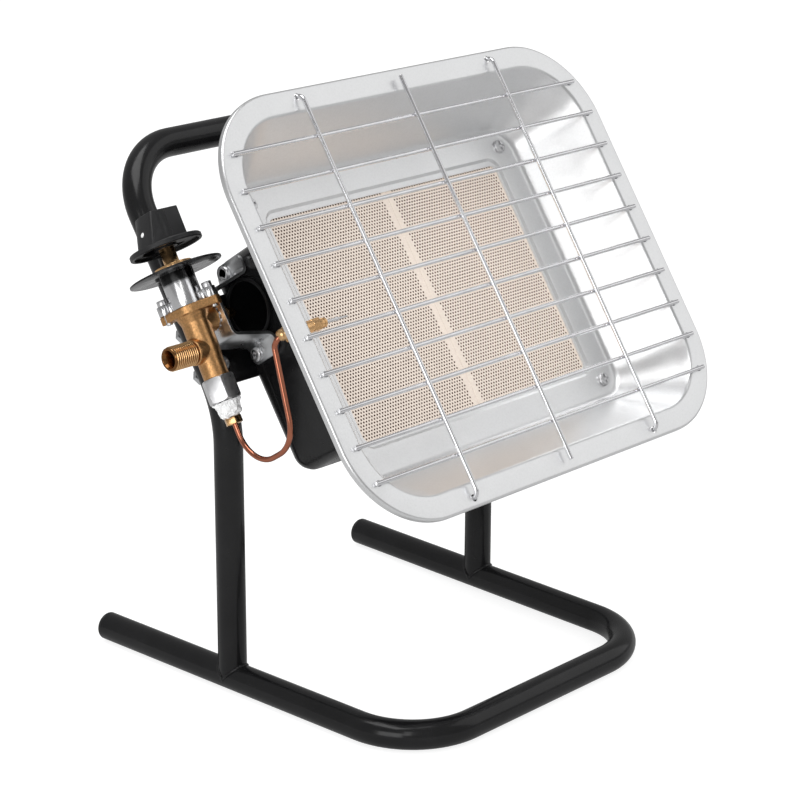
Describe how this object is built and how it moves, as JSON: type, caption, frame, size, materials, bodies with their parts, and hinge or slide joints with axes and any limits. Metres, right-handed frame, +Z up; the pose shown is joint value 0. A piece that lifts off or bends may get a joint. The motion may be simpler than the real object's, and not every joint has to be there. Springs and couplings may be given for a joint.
{
  "type": "portable propane heater",
  "caption": "Radiant gas heater: ceramic plaque burner in a tilted pressed reflector with a wire guard, side gas valve with push-and-turn knob, bent tube stand.",
  "frame": {"origin": "on the floor, under the middle of the outline", "axes": "+Z up; the reflector faces -Y and leans back; the gas inlet points along -X"},
  "size_m": [0.2942, 0.2583, 0.3352],
  "materials": {
    "stand_black": "gloss",
    "cap_black": "satin",
    "plate_black": "satin",
    "housing_black": "satin",
    "reflector_steel": "satin",
    "wire_zinc": "bright",
    "zinc_plated": "zinc plated",
    "bright_steel": "bright",
    "plaque_ceramic": "matte, drilled with fine holes",
    "fibre": "fibrous",
    "cast_brass": "as cast",
    "turned_brass": "machined",
    "copper": null,
    "knob_black": "satin",
    "dot_white": "painted"
  },
  "bodies": {
    "heater": {"base_tube": "stand_black", "leg_end_caps": "cap_black", "post_hoop": "stand_black", "cross_plate": "plate_black", "cross_plate_bolts": "zinc_plated", "reflector": "reflector_steel", "reflector_screws": "bright_steel", "wire_guard": "wire_zinc", "plaque_left": "plaque_ceramic", "plaque_right": "plaque_ceramic", "plaque_gasket": "fibre", "baffle_plate": "zinc_plated", "burner_housing": "housing_black", "mixer_tube": "housing_black", "valve_bracket": "zinc_plated", "bracket_screws": "bright_steel", "toothed_washer": "zinc_plated", "injector": "turned_brass", "valve_body": "cast_brass", "valve_bonnet": "bright_steel", "bonnet_screws": "bright_steel", "stem_collar": "turned_brass", "heat_shield_disc": "plate_black", "stem_spring": "bright_steel", "magnet_housing": "bright_steel", "sealing_wrap": "fibre", "thermocouple_nut": "turned_brass", "thermocouple_lead": "copper", "thermocouple_fitting": "turned_brass", "thermocouple_probe": "bright_steel"},
    "plug": {"valve_plug": "turned_brass"},
    "knob": {"valve_stem": "turned_brass", "control_knob": "knob_black", "knob_indicator": "dot_white"}
  },
  "joints": [
    {"name": "knob_turn", "type": "hinge", "parent": "heater", "child": "plug", "pos_m": [-0.1214, 0.02404, 0.21652], "axis": [0, 0.5099, 0.8602], "range_deg": [0, 90]},
    {"name": "knob_push", "type": "slide", "parent": "plug", "child": "knob", "axis": [0, -0.5099, -0.8602], "range_m": [0, 0.004], "stiffness_N_per_m": 900, "springref_m": -0.004, "deforming": ["stem_spring"]}
  ]
}
